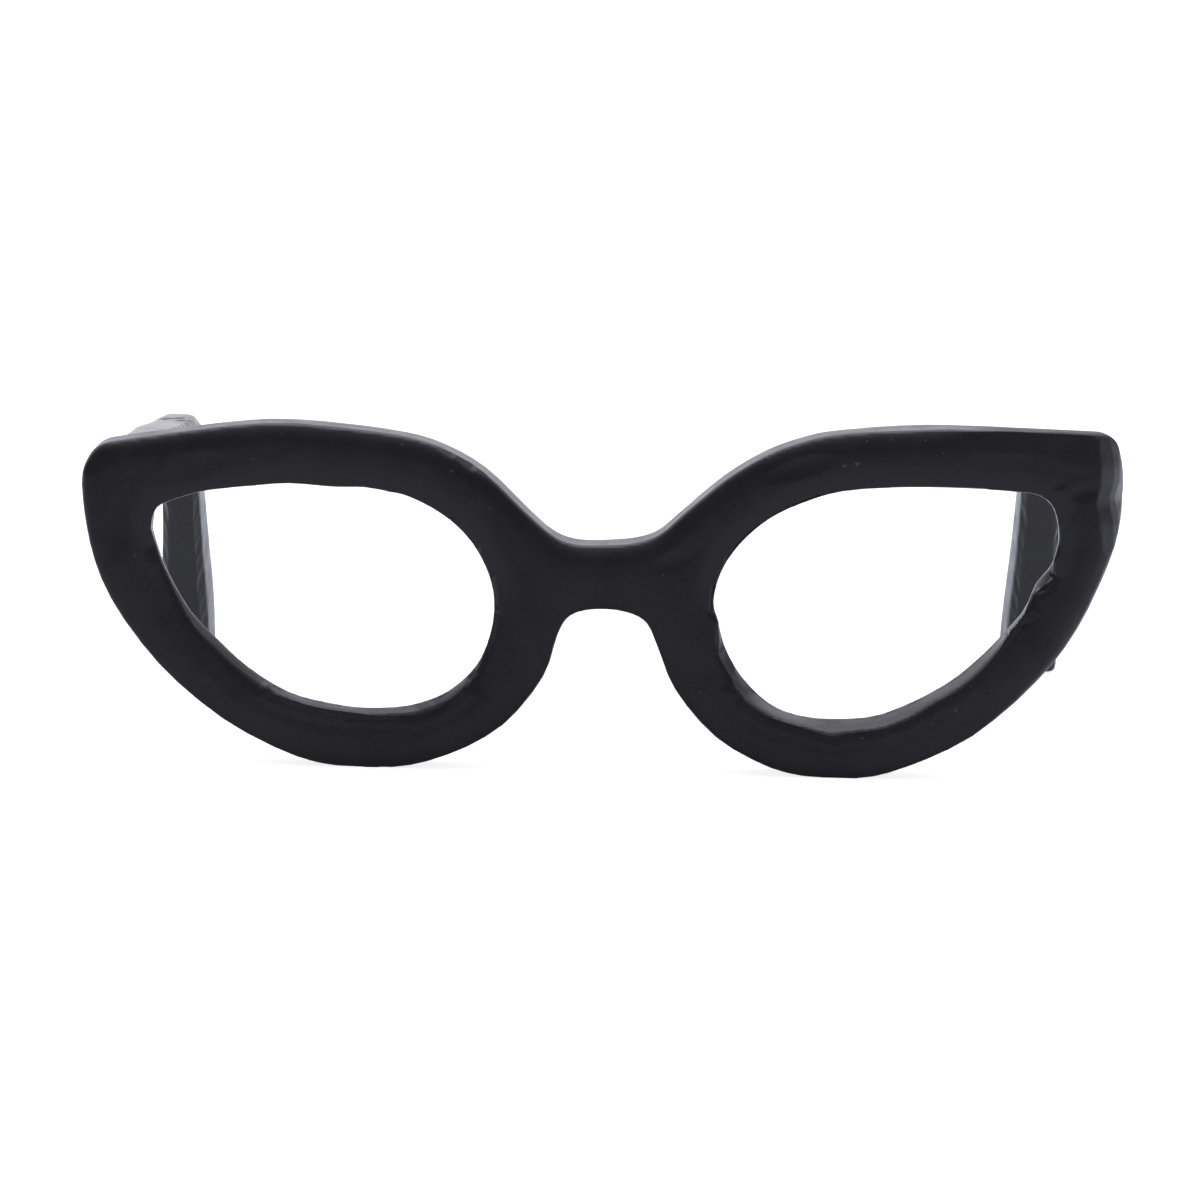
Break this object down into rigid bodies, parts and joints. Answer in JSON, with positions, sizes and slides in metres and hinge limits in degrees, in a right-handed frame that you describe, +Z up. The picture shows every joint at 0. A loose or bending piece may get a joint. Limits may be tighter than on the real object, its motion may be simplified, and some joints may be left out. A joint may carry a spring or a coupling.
{
  "type": "eyeglasses sculpture",
  "caption": "Oversize hand-formed cat-eye spectacles that stand on a table on both rims and both temple tips; the temples fold inwards on small butt hinges.",
  "frame": {"origin": "centre of the whole piece's width and depth, on the table it stands on", "axes": "+X to the viewer's right, +Y to the back along the temples, +Z up"},
  "size_m": [0.4197, 0.3362, 0.1424],
  "materials": {
    "black_casting": "satin",
    "blackened_steel": "satin"
  },
  "bodies": {
    "front": {"front_frame": "black_casting", "hinge_leaf_front_left": "blackened_steel", "hinge_leaf_front_right": "blackened_steel", "hinge_pin_left": "blackened_steel", "hinge_pin_right": "blackened_steel", "front_screws_left": "blackened_steel", "front_screws_right": "blackened_steel"},
    "left_temple": {"temple_left": "black_casting", "hinge_leaf_temple_left": "blackened_steel", "temple_screws_left": "blackened_steel"},
    "right_temple": {"temple_right": "black_casting", "hinge_leaf_temple_right": "blackened_steel", "temple_screws_right": "blackened_steel"}
  },
  "joints": [
    {"name": "left_temple_fold", "type": "hinge", "parent": "front", "child": "left_temple", "pos_m": [-0.191, -0.13815, 0.1095], "axis": [0, 0, -1], "range_deg": [0, 87]},
    {"name": "right_temple_fold", "type": "hinge", "parent": "front", "child": "right_temple", "pos_m": [0.191, -0.13815, 0.1095], "axis": [0, 0, 1], "range_deg": [0, 75]}
  ]
}
